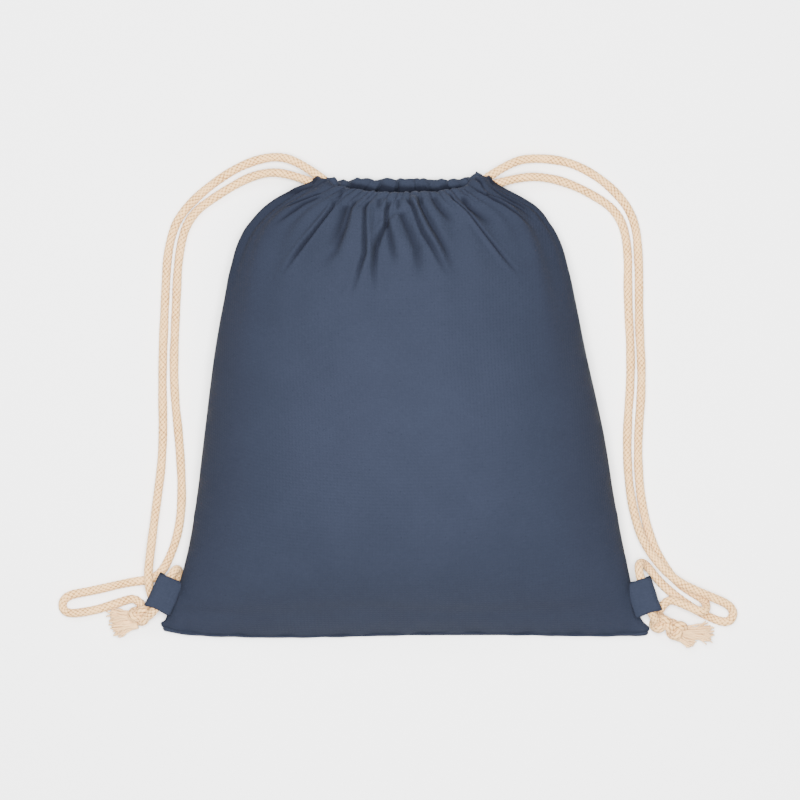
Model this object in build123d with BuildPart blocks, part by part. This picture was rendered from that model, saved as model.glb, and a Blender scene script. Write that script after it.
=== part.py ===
from build123d import *
import math
import os

# Drawstring backpack in plain cotton, lying on its back with its mouth towards +Y.
# Millimetres. +X right, +Y towards the mouth, +Z up. The floor is z = 0.

os.makedirs("parts", exist_ok=True)

# ---------------------------------------------------------------- dimensions
cloth = 2.0                 # wall of the two bag panels
cord_d = 6.5                # round braided cotton cord
cord_r = cord_d / 2
lie = 3.4                   # height of a cord's centre line on the floor
gap = 0.3                   # clearance between bodies

# Sections of the stuffed bag from the bottom seam to below the mouth:
# y, left edge x, right edge x, height of the side seam, height of the crown
sections = [
    (-174.5, -184.0, 188.0, 3.4, 7.4),
    (-168.0, -183.0, 187.0, 5.0, 17.0),
    (-155.0, -178.0, 182.0, 9.0, 38.0),
    (-132.0, -170.5, 176.0, 14.5, 61.0),
    (-95.0, -162.0, 168.5, 20.0, 81.0),
    (-45.0, -154.5, 159.5, 24.0, 93.0),
    (5.0, -148.0, 149.5, 26.0, 94.0),
    (55.0, -141.0, 139.5, 26.0, 86.0),
    (95.0, -134.0, 130.5, 24.0, 74.0),
    (125.0, -125.0, 122.5, 21.0, 62.0),
    (147.0, -109.0, 108.5, 18.0, 48.0),
    (160.0, -94.0, 95.5, 16.5, 37.0),
]
under_roll = 62.0           # width over which the back rolls up to the side seam
dip = 0.2                   # the back is lofted this far below the floor and cut off flat

# Mouth: two hems, each a sleeve with both cords side by side in it
hem_wide = 18.4             # sleeve across the flat
hem_thick = 10.6
hem_wall = 1.4
hem_left = -49.0            # x of the sleeves' ends
hem_right = 52.5
hem_mid_x = 1.75
cord_apart = 7.2            # between the two cords in a sleeve
front_lip = (156.5, 39.0)   # y, z of the front sleeve's middle
front_end = (170.0, 22.0)   # y, z of the front sleeve's ends
back_lip = (164.0, 8.0)
back_end = (171.5, 8.0)
lip_left = -40.0            # the part of the front hem that lifts
lip_right = 43.5
mouth_cut_y = 147.0
back_cut_y = 153.0

# Loops for the cords at the bottom corners
tab_long = 26.5
tab_wide = 16.4
tab_thick = 10.2
tab_wall = 1.2

tab_z = 18.5
left_tab_mid = (-184.5, -144.0)
left_tab_down = (-0.408, -0.913)
right_tab_mid = (188.2, -146.3)
right_tab_down = (0.302, -0.953)

knot_r = 7.5
knot_z = 7.8

# ---------------------------------------------------------------- cord routes
# Each list holds the corners of a run of straight pieces, joined by tangent arcs.
# All four start where the cords leave the mouth and end in the knots.
left_front_route = [
    (-63.0, 179.2, 14.0), (-80.0, 190.5, 11.0), (-103.0, 194.5, 6.0),
    (-134.0, 183.0, lie), (-170.0, 153.5, lie), (-181.0, 127.0, lie),
    (-183.5, 84.0, lie), (-186.0, 27.0, lie), (-184.5, -34.0, lie),
    (-191.0, -82.0, 4.5), (-194.8, -115.0, 9.5), (-196.5, -134.0, 10.8),
    (-193.0, -151.5, 8.0), (-177.0, -151.0, 4.2), (-171.5, -126.8, 4.6),
    (-175.5, -125.0, 18.4), (-184.5, -144.0, 18.6), (-191.0, -159.0, 18.2),
    (-197.5, -163.0, 12.5),
]
left_back_route = [
    (-65.6, 172.6, 14.0), (-88.0, 181.5, 11.0), (-113.0, 180.5, 6.0),
    (-140.0, 166.0, lie), (-165.0, 148.0, lie), (-173.0, 120.0, lie),
    (-175.0, 76.0, lie), (-177.5, 20.0, lie), (-171.5, -34.0, lie),
    (-170.0, -78.0, lie), (-175.5, -108.0, lie), (-188.5, -134.0, lie),
    (-210.0, -136.0, lie), (-239.0, -143.0, lie), (-263.0, -147.0, lie),
    (-263.0, -161.5, lie), (-240.0, -159.0, lie), (-220.0, -152.5, lie),
    (-205.0, -147.5, 4.4), (-200.0, -156.0, 7.0),
]
right_front_route = [
    (66.8, 179.2, 14.0), (84.0, 190.0, 11.0), (108.0, 193.0, 6.0),
    (135.0, 188.5, lie), (162.0, 171.5, lie), (181.5, 147.0, lie),
    (184.5, 110.0, lie), (184.0, 66.0, lie), (187.0, 20.0, lie),
    (183.0, -30.0, lie), (184.8, -68.0, lie), (191.5, -97.5, lie),
    (199.0, -116.0, lie), (213.0, -136.5, lie), (226.0, -144.5, lie),
    (237.0, -151.5, 3.8), (234.5, -160.0, 15.0), (220.0, -154.0, 13.4),
    (205.0, -147.5, 11.0), (200.0, -158.0, 9.0),
]
right_back_route = [
    (69.7, 172.6, 14.0), (92.0, 178.5, 11.0), (118.0, 177.0, 6.0),
    (142.0, 168.0, lie), (168.0, 151.5, lie), (176.0, 126.0, lie),
    (175.5, 84.0, lie), (178.5, 30.0, lie), (174.5, -24.0, lie),
    (176.5, -66.0, 5.0), (183.5, -97.0, 8.5), (193.0, -115.0, 10.6),
    (212.0, -135.5, 10.8), (237.0, -146.0, 10.4), (259.0, -156.0, 4.2),
    (254.5, -169.5, lie), (234.0, -161.5, lie), (217.0, -150.5, lie),
    (201.0, -137.5, 4.0), (188.0, -120.5, 5.5), (181.6, -122.0, 18.4),
    (187.2, -143.0, 18.4), (192.3, -160.0, 18.2), (197.0, -165.5, 12.5),
]

# Swing line of each shoulder strap: from its corner of the mouth towards its tab.
# The strap is the cord above the cut across this line.
left_swing = ((-64.3, 175.9, 14.0), (-186.0, -130.0, 4.0), 312.0)
right_swing = ((68.2, 175.9, 14.0), (190.0, -112.0, 4.0), 300.0)


def arc_radii(points):
    """Radius at each inner corner: 0.45 of the shorter run over tan(half the turn)."""
    radii = []
    for before, corner, after in zip(points, points[1:], points[2:]):
        back = Vector(*before) - Vector(*corner)
        ahead = Vector(*after) - Vector(*corner)
        half_turn = math.radians(180 - back.get_angle(ahead)) / 2
        radii.append(0.45 * min(back.length, ahead.length) / math.tan(half_turn))
    return radii


def cord_tube(points, label):
    """A round cord along one route."""
    radii = arc_radii(points)
    with BuildPart() as tube:
        with BuildLine() as route:
            FilletPolyline(*points, radius=radii)
        with BuildSketch(Plane(route.wire() @ 0, z_dir=route.wire() % 0)):
            Circle(cord_r)
        sweep(path=route.wire())
    ideal = math.pi * cord_r ** 2 * route.wire().length
    print(f"{label}: {route.wire().length:.1f} mm, volume ratio "
          f"{tube.part.volume / ideal:.4f}, smallest radius {min(radii):.1f}")
    return tube.part


def save(shape, label):
    shape.label = label
    export_step(shape, f"parts/{label}.step")


def strand_and_tail_run(points, swing, strand_label, run_label):
    """One cord cut in two across the swing line: the strap strand and the rest."""
    tube = cord_tube(points, strand_label)
    start = Vector(*swing[0])
    line = (Vector(*swing[1]) - start).normalized()
    with BuildPart() as strand:
        add(tube)
        split(bisect_by=Plane(start + line * (swing[2] - gap / 2), z_dir=line), keep=Keep.BOTTOM)
    with BuildPart() as run:
        add(tube)
        split(bisect_by=Plane(start + line * (swing[2] + gap / 2), z_dir=line), keep=Keep.TOP)
    save(strand.part, strand_label)
    save(run.part, run_label)


# ---------------------------------------------------------------- bag panels
# The front is a crowned shell from seam to seam.
with BuildPart() as front_panel:
    for y, left, right, seam, crown in sections:
        mid = (left + right) / 2
        half = (right - left) / 2
        rise = crown - seam
        with BuildSketch(Plane.XZ.offset(-y)):
            with BuildLine():
                outer = EllipticalCenterArc((mid, seam), half, rise, 0, arc_size=180)
                inner = EllipticalCenterArc((mid, seam), half - cloth, rise - cloth, 0, arc_size=180)
                Line(outer @ 0, inner @ 0)
                Line(outer @ 1, inner @ 1)
            make_face()
    loft()
    with BuildSketch(Plane.XY):
        with BuildLine():
            Polyline(
                (-63.0, mouth_cut_y), (67.0, mouth_cut_y), (73.0, 165.0), (-69.0, 165.0), close=True
            )
        make_face()
    extrude(amount=100, mode=Mode.SUBTRACT)
front_panel.part.label = "front_panel"
export_step(front_panel.part, "parts/front_panel.step")

# The back lies flat on the floor and rolls up to the side seams.
with BuildPart() as back_panel:
    for y, left, right, seam, crown in sections:
        height = seam - gap
        inside = height - cloth
        with BuildSketch(Plane.XZ.offset(-y)):
            with BuildLine():
                floor_left = (left + under_roll, -dip)
                floor_right = (right - under_roll, -dip)
                below = height + dip
                EllipticalCenterArc((left + under_roll, height), under_roll, below, 180, arc_size=90)
                Line(floor_left, floor_right)
                EllipticalCenterArc((right - under_roll, height), under_roll, below, 270, arc_size=90)
                Line((right, height), (right - cloth, height))
                EllipticalCenterArc(
                    (right - under_roll, height), under_roll - cloth, inside, 270, arc_size=90
                )
                Line((left + under_roll, cloth), (right - under_roll, cloth))
                EllipticalCenterArc(
                    (left + under_roll, height), under_roll - cloth, inside, 180, arc_size=90
                )
                Line((left, height), (left + cloth, height))
            make_face()
    loft()
    with BuildSketch(Plane.XY.offset(-1)):
        with Locations((hem_mid_x, back_cut_y + 20)):
            Rectangle(2 * 66, 40)
    extrude(amount=40, mode=Mode.SUBTRACT)
    with BuildSketch(Plane.XY):
        Rectangle(500, 500)
    extrude(amount=-5, mode=Mode.SUBTRACT)
back_panel.part.label = "back_panel"
export_step(back_panel.part, "parts/back_panel.step")

# Bottom seam: a thin closed hem across the bag with an ear at each corner.
with BuildPart() as bottom_seam:
    with BuildSketch(Plane.XY.offset(0)):
        with BuildLine():
            Spline(
                (-188.5, -174.8), (-187.2, -170.5), (-184.6, -168.0),
                tangents=((-1, 1), (1, 1.2)),
            )
            Line((-184.6, -168.0), (-184.6, -174.8))
            Line((-184.6, -174.8), (-188.5, -174.8))
        make_face()
        with BuildLine():
            Line((-188.5, -174.8), (190.0, -174.8))
            Line((190.0, -174.8), (187.0, -176.6))
            ThreePointArc((187.0, -176.6), (0.0, -177.5), (-184.0, -175.8))
            Line((-184.0, -175.8), (-188.5, -174.8))
        make_face()
        with BuildLine():
            Line((190.0, -174.8), (188.4, -174.8))
            Line((188.4, -174.8), (188.4, -168.5))
            ThreePointArc((188.4, -168.5), (192.0, -171.5), (190.0, -174.8))
        make_face()
    extrude(amount=5.5)
bottom_seam.part.label = "bottom_seam"
export_step(bottom_seam.part, "parts/bottom_seam.step")

# ---------------------------------------------------------------- side seams
# The overlocked allowance runs inside each side, just within the meeting of the panels.
for name, side in (("left_side_seam", 1), ("right_side_seam", 2)):
    inward = 1 if side == 1 else -1
    edge = []
    for row in sections[3:10]:
        edge.append((row[side] + inward * 5.2, row[0], row[3]))
    with BuildPart() as seam_strip:
        with BuildLine() as seam_line:
            Spline(*edge)
        seam_start = Plane(
            seam_line.wire() @ 0, x_dir=(1, 0, 0), z_dir=seam_line.wire() % 0
        )
        with BuildSketch(seam_start):
            Rectangle(5.0, 1.6)
        sweep(path=seam_line.wire())
    seam_strip.part.label = name
    export_step(seam_strip.part, f"parts/{name}.step")

# ---------------------------------------------------------------- mouth hems
def hem_arc(lip, end):
    """Left end, middle and right end of a sleeve's centre line."""
    return [(hem_left, *end), (hem_mid_x, *lip), (hem_right, *end)]


def beside(points, outward, upward):
    """The same arc moved away from its own centre and along its own normal."""
    first, middle, last = (Vector(*point) for point in points)
    centre = ThreePointArc(first, middle, last, mode=Mode.PRIVATE).arc_center
    normal = (first - centre).cross(last - centre).normalized()
    if normal.Z < 0:
        normal = -normal
    return [
        tuple(point + (point - centre).normalized() * outward + normal * upward)
        for point in (first, middle, last)
    ]


def sleeve(points, flat):
    """A flattened sleeve along an arc, open at both ends."""
    towards_mouth = Vector(*beside(points, flat[0], flat[1])[0]) - Vector(*points[0])
    with BuildPart() as hem:
        with BuildLine() as arc:
            ThreePointArc(*points)
        with BuildSketch(Plane(arc.wire() @ 0, x_dir=towards_mouth, z_dir=arc.wire() % 0)):
            SlotOverall(hem_wide, hem_thick)
            SlotOverall(
                hem_wide - 2 * hem_wall, hem_thick - 2 * hem_wall, mode=Mode.SUBTRACT
            )
        sweep(path=arc.wire())
    return hem.part


def round_run(points, radius):
    """A round rod along an arc."""
    with BuildPart() as run:
        with BuildLine() as arc:
            ThreePointArc(*points)
        with BuildSketch(Plane(arc.wire() @ 0, z_dir=arc.wire() % 0)):
            Circle(radius)
        sweep(path=arc.wire())
    return run.part


def cut_piece(whole, label, from_x=None, to_x=None):
    """The part of a solid between two planes across the mouth."""
    with BuildPart() as piece:
        add(whole)
        if from_x is not None:
            split(bisect_by=Plane.YZ.offset(from_x), keep=Keep.TOP)
        if to_x is not None:
            split(bisect_by=Plane.YZ.offset(to_x), keep=Keep.BOTTOM)
    piece.part.label = label
    export_step(piece.part, f"parts/{label}.step")


def three_pieces(whole, label):
    """The lifting middle and the two fixed ends of something in the front hem."""
    cut_piece(whole, f"{label}", lip_left, lip_right)
    cut_piece(whole, f"{label}_left_end", None, lip_left - gap)
    cut_piece(whole, f"{label}_right_end", lip_right + gap, None)


# Across the flat and across the thickness of each sleeve, as outward and upward shares.
front_flat = (-0.91, 0.41)
front_thick = (0.41, 0.91)
back_flat = (-1.0, 0.0)
back_thick = (0.0, 1.0)


def in_sleeve(points, flat, thick, across, above):
    """The centre line of something beside a sleeve's own centre line."""
    outward = flat[0] * across + thick[0] * above
    upward = flat[1] * across + thick[1] * above
    return beside(points, outward, upward)


front_points = hem_arc(front_lip, front_end)
back_points = hem_arc(back_lip, back_end)
three_pieces(sleeve(front_points, front_flat), "front_hem")
cut_piece(sleeve(back_points, back_flat), "back_hem")

# The two cords lie side by side in each sleeve.
half_apart = cord_apart / 2
outer_front = in_sleeve(front_points, front_flat, front_thick, half_apart, 0)
inner_front = in_sleeve(front_points, front_flat, front_thick, -half_apart, 0)
outer_back = in_sleeve(back_points, back_flat, back_thick, half_apart, 0)
inner_back = in_sleeve(back_points, back_flat, back_thick, -half_apart, 0)
three_pieces(round_run(outer_front, cord_r), "left_cord_in_front_hem")
three_pieces(round_run(inner_front, cord_r), "right_cord_in_front_hem")
cut_piece(round_run(outer_back, cord_r), "left_cord_in_back_hem")
cut_piece(round_run(inner_back, cord_r), "right_cord_in_back_hem")

# One row of stitches closes each hem.
stitch_r = 0.5
stitch_up = hem_thick / 2 + stitch_r + 0.05
front_row = in_sleeve(front_points, front_flat, front_thick, -3.2, stitch_up)
back_row = in_sleeve(back_points, back_flat, back_thick, -3.2, stitch_up)
cut_piece(round_run(front_row, stitch_r), "front_hem_stitching", lip_left, lip_right)
cut_piece(round_run(back_row, stitch_r), "back_hem_stitching")

# ---------------------------------------------------------------- tabs
for name, mid, down in (
    ("left_tab", left_tab_mid, left_tab_down),
    ("right_tab", right_tab_mid, right_tab_down),
):
    channel = Vector(*down, 0)
    centre = Vector(*mid, tab_z)
    top = centre - channel * (tab_long / 2)
    with BuildPart() as tab:
        with BuildSketch(Plane(top, x_dir=(down[1], -down[0], 0), z_dir=channel)):
            SlotOverall(tab_wide, tab_thick)
            SlotOverall(
                tab_wide - 2 * tab_wall, tab_thick - 2 * tab_wall, mode=Mode.SUBTRACT
            )
        extrude(amount=tab_long)
    tab.part.label = name
    export_step(tab.part, f"parts/{name}.step")

    # A row of stitches where the loop is closed, on the side next to the bag.
    inward = Vector(-down[1], down[0], 0) * (1 if mid[0] < 0 else -1)
    row_start = top + channel * 2 + inward * 2.2 + Vector(0, 0, tab_thick / 2 + stitch_r)
    with BuildPart() as tab_row:
        with BuildSketch(Plane(row_start, z_dir=channel)):
            Circle(stitch_r)
        extrude(amount=tab_long - 4)
    tab_row.part.label = f"{name}_stitching"
    export_step(tab_row.part, f"parts/{name}_stitching.step")

# ---------------------------------------------------------------- cords
strand_and_tail_run(left_front_route, left_swing, "left_front_strand", "left_tab_run")
strand_and_tail_run(left_back_route, left_swing, "left_back_strand", "left_floor_loop")
strand_and_tail_run(right_front_route, right_swing, "right_front_strand", "right_floor_loop")
strand_and_tail_run(right_back_route, right_swing, "right_back_strand", "right_tab_run")

# Where each cord turns back from the front hem into the back hem, at its far corner.
turn_out = 9.5
for label, front, back, end, out in (
    ("left_cord_turn", outer_front, outer_back, 2, turn_out),
    ("right_cord_turn", inner_front, inner_back, 0, -turn_out),
):
    upper = Vector(*front[end])
    lower = Vector(*back[end])
    sideways = Vector(out, 0, 0)
    turn = [upper, upper + sideways, lower + sideways, lower]
    save(cord_tube([tuple(point) for point in turn], label), label)

# ---------------------------------------------------------------- knots and tails
for name, knot_from, knot_to, tails in (
    (
        "left", (-198.5, -161.0), (-204.0, -162.0),
        (((-208.0, -162.0), (-228.0, -163.5)), ((-206.0, -169.5), (-227.0, -173.5))),
    ),
    (
        "right", (198.0, -166.5), (214.0, -173.0),
        (((219.0, -174.0), (246.0, -176.0)), ((213.0, -179.5), (229.0, -185.0))),
    ),
):
    axis_line = Vector(*knot_to, knot_z) - Vector(*knot_from, knot_z)
    with BuildPart() as knot:
        with BuildSketch(Plane(Vector(*knot_from, knot_z), z_dir=axis_line)):
            Circle(knot_r)
        extrude(amount=axis_line.length)
        with Locations((*knot_from, knot_z), (*knot_to, knot_z)):
            Sphere(knot_r)
    knot.part.label = f"{name}_knot"
    export_step(knot.part, f"parts/{name}_knot.step")
    for number, (root, tip) in enumerate(tails, 1):
        tail_line = Vector(*tip, 4.2) - Vector(*root, 6.0)
        with BuildPart() as tail:
            with BuildSketch(Plane(Vector(*root, 6.0), z_dir=tail_line)):
                Circle(cord_r)
            with BuildSketch(Plane(Vector(*tip, 4.2), z_dir=tail_line)):
                Circle(cord_r + 0.6)
            loft()
        tail.part.label = f"{name}_tail_{number}"
        export_step(tail.part, f"parts/{name}_tail_{number}.step")
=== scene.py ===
import math

import bmesh
import bpy
import numpy as np
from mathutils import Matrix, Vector


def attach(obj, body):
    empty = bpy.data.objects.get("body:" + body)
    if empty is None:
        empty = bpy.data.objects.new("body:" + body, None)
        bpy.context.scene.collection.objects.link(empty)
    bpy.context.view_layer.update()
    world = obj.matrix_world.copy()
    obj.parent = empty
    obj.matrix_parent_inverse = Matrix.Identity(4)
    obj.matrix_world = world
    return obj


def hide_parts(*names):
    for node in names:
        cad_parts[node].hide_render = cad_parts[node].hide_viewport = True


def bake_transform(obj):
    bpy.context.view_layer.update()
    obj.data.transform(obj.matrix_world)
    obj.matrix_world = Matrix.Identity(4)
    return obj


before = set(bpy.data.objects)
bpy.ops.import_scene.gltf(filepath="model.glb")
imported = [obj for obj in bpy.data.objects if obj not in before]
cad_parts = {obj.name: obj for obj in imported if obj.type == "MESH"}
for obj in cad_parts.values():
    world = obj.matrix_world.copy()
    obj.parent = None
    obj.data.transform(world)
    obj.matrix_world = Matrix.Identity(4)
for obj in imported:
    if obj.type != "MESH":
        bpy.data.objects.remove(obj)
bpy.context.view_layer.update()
MM = 0.001
rng = np.random.default_rng(7)

# ------------------------------------------------------------------ camera
# The bag lies on its back and the camera looks straight down on it.
cam_data = bpy.data.cameras.new("camera")
cam_data.lens = 150.0
cam_data.sensor_width = 36.0
cam = bpy.data.objects.new("camera", cam_data)
bpy.context.scene.collection.objects.link(cam)
cam.location = (-0.0012, 0.0050, 2.590)
cam.rotation_euler = (0.0, 0.0, 0.0)
bpy.context.scene.camera = cam


# ------------------------------------------------------------------ mesh helpers
def new_object(name, verts, faces, uvs):
    """A mesh object from arrays; uvs holds one pair for each vertex."""
    mesh = bpy.data.meshes.new(name)
    mesh.from_pydata([tuple(v) for v in verts], [], [tuple(f) for f in faces])
    layer = mesh.uv_layers.new(name="cloth")
    loops = np.empty(len(mesh.loops), dtype=np.int32)
    mesh.loops.foreach_get("vertex_index", loops)
    layer.data.foreach_set("uv", np.asarray(uvs, dtype=np.float32)[loops].ravel())
    mesh.polygons.foreach_set("use_smooth", [True] * len(mesh.polygons))
    mesh.update()
    obj = bpy.data.objects.new(name, mesh)
    bpy.context.scene.collection.objects.link(obj)
    return obj


def grid_faces(rows, cols, wrap=False):
    """Quads of a grid of points, its columns joined round if wrap."""
    faces = []
    last = cols if wrap else cols - 1
    for i in range(rows - 1):
        for j in range(last):
            k = (j + 1) % cols
            faces.append((i * cols + j, i * cols + k, (i + 1) * cols + k, (i + 1) * cols + j))
    return faces


def ring_faces(base, rings, sides):
    """Quads between rings of points that follow each other from vertex base on."""
    return [tuple(base + n for n in face) for face in grid_faces(rings, sides, wrap=True)]


def end_caps(base, rings, sides):
    """The two faces that close the first and the last ring."""
    last = base + (rings - 1) * sides
    return [tuple(base + k for k in reversed(range(sides))), tuple(range(last, last + sides))]


def add_attribute(obj, name, values):
    layer = obj.data.attributes.new(name, "FLOAT", "POINT")
    layer.data.foreach_set("value", np.asarray(values, dtype=np.float32))


def smoothstep(t):
    t = np.clip(t, 0.0, 1.0)
    return t * t * (3 - 2 * t)


def smoothed(line, window):
    """Each column of the line averaged over a window of its neighbours."""
    kernel = np.hanning(window)
    kernel /= kernel.sum()
    half = window // 2
    return np.stack([
        np.convolve(np.pad(line[:, k], half, mode="edge"), kernel, "valid") for k in range(3)
    ], axis=1)


# ------------------------------------------------------------------ cords
CORD_R = 3.25          # radius of the cord, in mm
LIE = 3.4              # height of a cord's middle where it lies on the floor
STRANDS = 6            # yarns each way round the braid
PITCH = 3.9            # length of one diamond of the braid

left_front_route = [
    (-58.8, 174.0, 16.5), (-80.0, 190.5, 11.0), (-103.0, 194.5, 6.0),
    (-134.0, 183.0, LIE), (-170.0, 153.5, LIE), (-181.0, 127.0, LIE),
    (-183.5, 84.0, LIE), (-186.0, 27.0, LIE), (-184.5, -34.0, LIE),
    (-191.0, -82.0, 4.5), (-194.8, -115.0, 9.5), (-196.5, -134.0, 10.8),
    (-193.0, -151.5, 8.0), (-177.0, -151.0, 4.2), (-171.5, -126.8, 4.6),
    (-175.5, -125.0, 18.4), (-184.5, -144.0, 18.6), (-191.0, -159.0, 18.2),
    (-197.5, -163.0, 12.5),
]
left_back_route = [
    (-60.2, 169.6, 11.5), (-88.0, 181.5, 11.0), (-113.0, 180.5, 6.0),
    (-140.0, 166.0, LIE), (-165.0, 148.0, LIE), (-173.0, 120.0, LIE),
    (-175.0, 76.0, LIE), (-177.5, 20.0, LIE), (-171.5, -34.0, LIE),
    (-170.0, -78.0, LIE), (-175.5, -108.0, LIE), (-188.5, -134.0, LIE),
    (-210.0, -136.0, LIE), (-239.0, -143.0, LIE), (-263.0, -147.0, LIE),
    (-263.0, -161.5, LIE), (-240.0, -159.0, LIE), (-220.0, -152.5, LIE),
    (-205.0, -147.5, 4.4), (-200.0, -156.0, 7.0),
]
right_front_route = [
    (62.6, 174.0, 16.5), (84.0, 190.0, 11.0), (108.0, 193.0, 6.0),
    (135.0, 188.5, LIE), (162.0, 171.5, LIE), (181.5, 147.0, LIE),
    (184.5, 110.0, LIE), (184.0, 66.0, LIE), (187.0, 20.0, LIE),
    (183.0, -30.0, LIE), (184.8, -68.0, LIE), (191.5, -97.5, LIE),
    (199.0, -116.0, LIE), (213.0, -136.5, LIE), (226.0, -144.5, LIE),
    (237.0, -151.5, 3.8), (234.5, -160.0, 15.0), (220.0, -154.0, 13.4),
    (205.0, -147.5, 11.0), (200.0, -158.0, 9.0),
]
right_back_route = [
    (64.6, 169.8, 11.5), (92.0, 178.5, 11.0), (118.0, 177.0, 6.0),
    (142.0, 168.0, LIE), (168.0, 151.5, LIE), (176.0, 126.0, LIE),
    (175.5, 84.0, LIE), (178.5, 30.0, LIE), (174.5, -24.0, LIE),
    (176.5, -66.0, 5.0), (183.5, -97.0, 8.5), (193.0, -115.0, 10.6),
    (212.0, -135.5, 10.8), (237.0, -146.0, 10.4), (259.0, -156.0, 4.2),
    (254.5, -169.5, LIE), (234.0, -161.5, LIE), (217.0, -150.5, LIE),
    (201.0, -137.5, 4.0), (188.0, -120.5, 5.5), (181.6, -122.0, 18.4),
    (187.2, -143.0, 18.4), (192.3, -160.0, 18.2), (197.0, -165.5, 12.5),
]


def nurbs_path(points, resolution=24):
    """Points in metres along the NURBS spline whose control points are the route's."""
    curve = bpy.data.curves.new("path", "CURVE")
    curve.dimensions = "3D"
    curve.resolution_u = resolution
    spline = curve.splines.new("NURBS")
    spline.points.add(len(points) - 1)
    for point, place in zip(spline.points, points):
        point.co = (*(Vector(place) * MM), 1.0)
    spline.order_u = 3
    spline.use_endpoint_u = True
    holder = bpy.data.objects.new("path", curve)
    bpy.context.scene.collection.objects.link(holder)
    bpy.context.view_layer.update()
    mesh = bpy.data.meshes.new_from_object(holder)
    path = np.array([v.co[:] for v in mesh.vertices])
    bpy.data.objects.remove(holder)
    bpy.data.curves.remove(curve)
    bpy.data.meshes.remove(mesh)
    fresh = np.linalg.norm(np.diff(path, axis=0), axis=1) > 0.02 * MM
    return path[np.concatenate([[True], fresh])]


def even_steps(path, step):
    """The path again with points an even step apart."""
    lengths = np.linalg.norm(np.diff(path, axis=0), axis=1)
    run = np.concatenate([[0.0], np.cumsum(lengths)])
    count = max(int(run[-1] / step), 8)
    at = np.linspace(0.0, run[-1], count + 1)
    return np.stack([np.interp(at, run, path[:, k]) for k in range(3)], axis=1), at


def carried_frames(path):
    """Two directions across the path at each point, carried along without twist."""
    tangents = np.gradient(path, axis=0)
    tangents /= np.linalg.norm(tangents, axis=1)[:, None]
    side = np.cross(tangents[0], (0.0, 0.0, 1.0))
    if np.linalg.norm(side) < 0.1:
        side = np.cross(tangents[0], (1.0, 0.0, 0.0))
    sides = []
    for tangent in tangents:
        side = side - tangent * np.dot(side, tangent)
        side = side / np.linalg.norm(side)
        sides.append(side)
    sides = np.array(sides)
    return sides, np.cross(tangents, sides)


def braid_height(along, turn):
    """Height 0 to 1 of a round braid: yarns of two families pass over and under each other."""
    uneven = 0.16 * np.sin(along * 0.37) + 0.12 * np.sin(along * 0.113 + 2.0 + 6.283 * turn)
    a = STRANDS * turn + along / PITCH + uneven
    b = STRANDS * turn - along / PITCH + 0.7 * uneven
    over = np.mod(np.floor(a) + np.floor(b), 2) < 0.5
    across_a = 1 - (2 * np.mod(a, 1.0) - 1) ** 2
    across_b = 1 - (2 * np.mod(b, 1.0) - 1) ** 2
    top = np.where(over, across_a, across_b)
    bend = np.where(over, across_b, across_a)
    return np.sqrt(np.clip(top, 0, 1)) * (0.55 + 0.45 * bend)


def braided_tube(name, path, radius, around=36, step=0.62 * MM, relief=0.62, lump=0.22):
    """A round braided cord along a path, its yarns standing out of the surface."""
    points, at = even_steps(path, step)
    side, up = carried_frames(points)
    turn = np.arange(around) / around
    along, turns = np.meshgrid(at / MM, turn, indexing="ij")
    height = braid_height(along, turns)
    radii = radius + relief * (height - 0.62)
    slow = np.sin(along * 0.11 + 1.3) + np.sin(along * 0.047 + turns * 6.283) + np.sin(along * 0.23)
    radii = radii + lump * slow / 3
    angle = turns * 2 * math.pi
    offset = side[:, None, :] * np.cos(angle)[:, :, None] + up[:, None, :] * np.sin(angle)[:, :, None]
    verts = points[:, None, :] + offset * radii[:, :, None] * MM
    verts = verts.reshape(-1, 3)
    verts[:, 2] = np.maximum(verts[:, 2], 0.1 * MM)
    rows = len(points)
    faces = ring_faces(0, rows, around) + end_caps(0, rows, around)
    uv = np.stack([along.ravel() / 10.0, turns.ravel() * 2.0], axis=1)
    obj = new_object(name, verts, faces, uv)
    add_attribute(obj, "crown", height.ravel())
    return obj


left_front_path = nurbs_path(left_front_route)
left_back_path = nurbs_path(left_back_route)
right_front_path = nurbs_path(right_front_route)
right_back_path = nurbs_path(right_back_route)
left_front = braided_tube("left_cord_front_strand", left_front_path, CORD_R)
left_back = braided_tube("left_cord_back_strand", left_back_path, CORD_R)
right_front = braided_tube("right_cord_front_strand", right_front_path, CORD_R)
right_back = braided_tube("right_cord_back_strand", right_back_path, CORD_R)


# ------------------------------------------------------------------ knots and frayed ends
def knot_curve(centre, long_axis, size, phase):
    """An overhand knot drawn tight: a trefoil squeezed into size, long axis in plan."""
    t = np.linspace(0.0, 2 * math.pi, 160) + phase
    x = np.sin(t) + 2 * np.sin(2 * t)
    y = np.cos(t) - 2 * np.cos(2 * t)
    z = -np.sin(3 * t)
    local = np.stack([x / 3, y / 3, z], axis=1) * (np.array(size) / 2)
    axis = np.array([math.cos(long_axis), math.sin(long_axis), 0.0])
    across = np.array([-axis[1], axis[0], 0.0])
    up = np.array([0.0, 0.0, 1.0])
    return np.array(centre) + local[:, :1] * axis + local[:, 1:2] * across + local[:, 2:] * up


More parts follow.
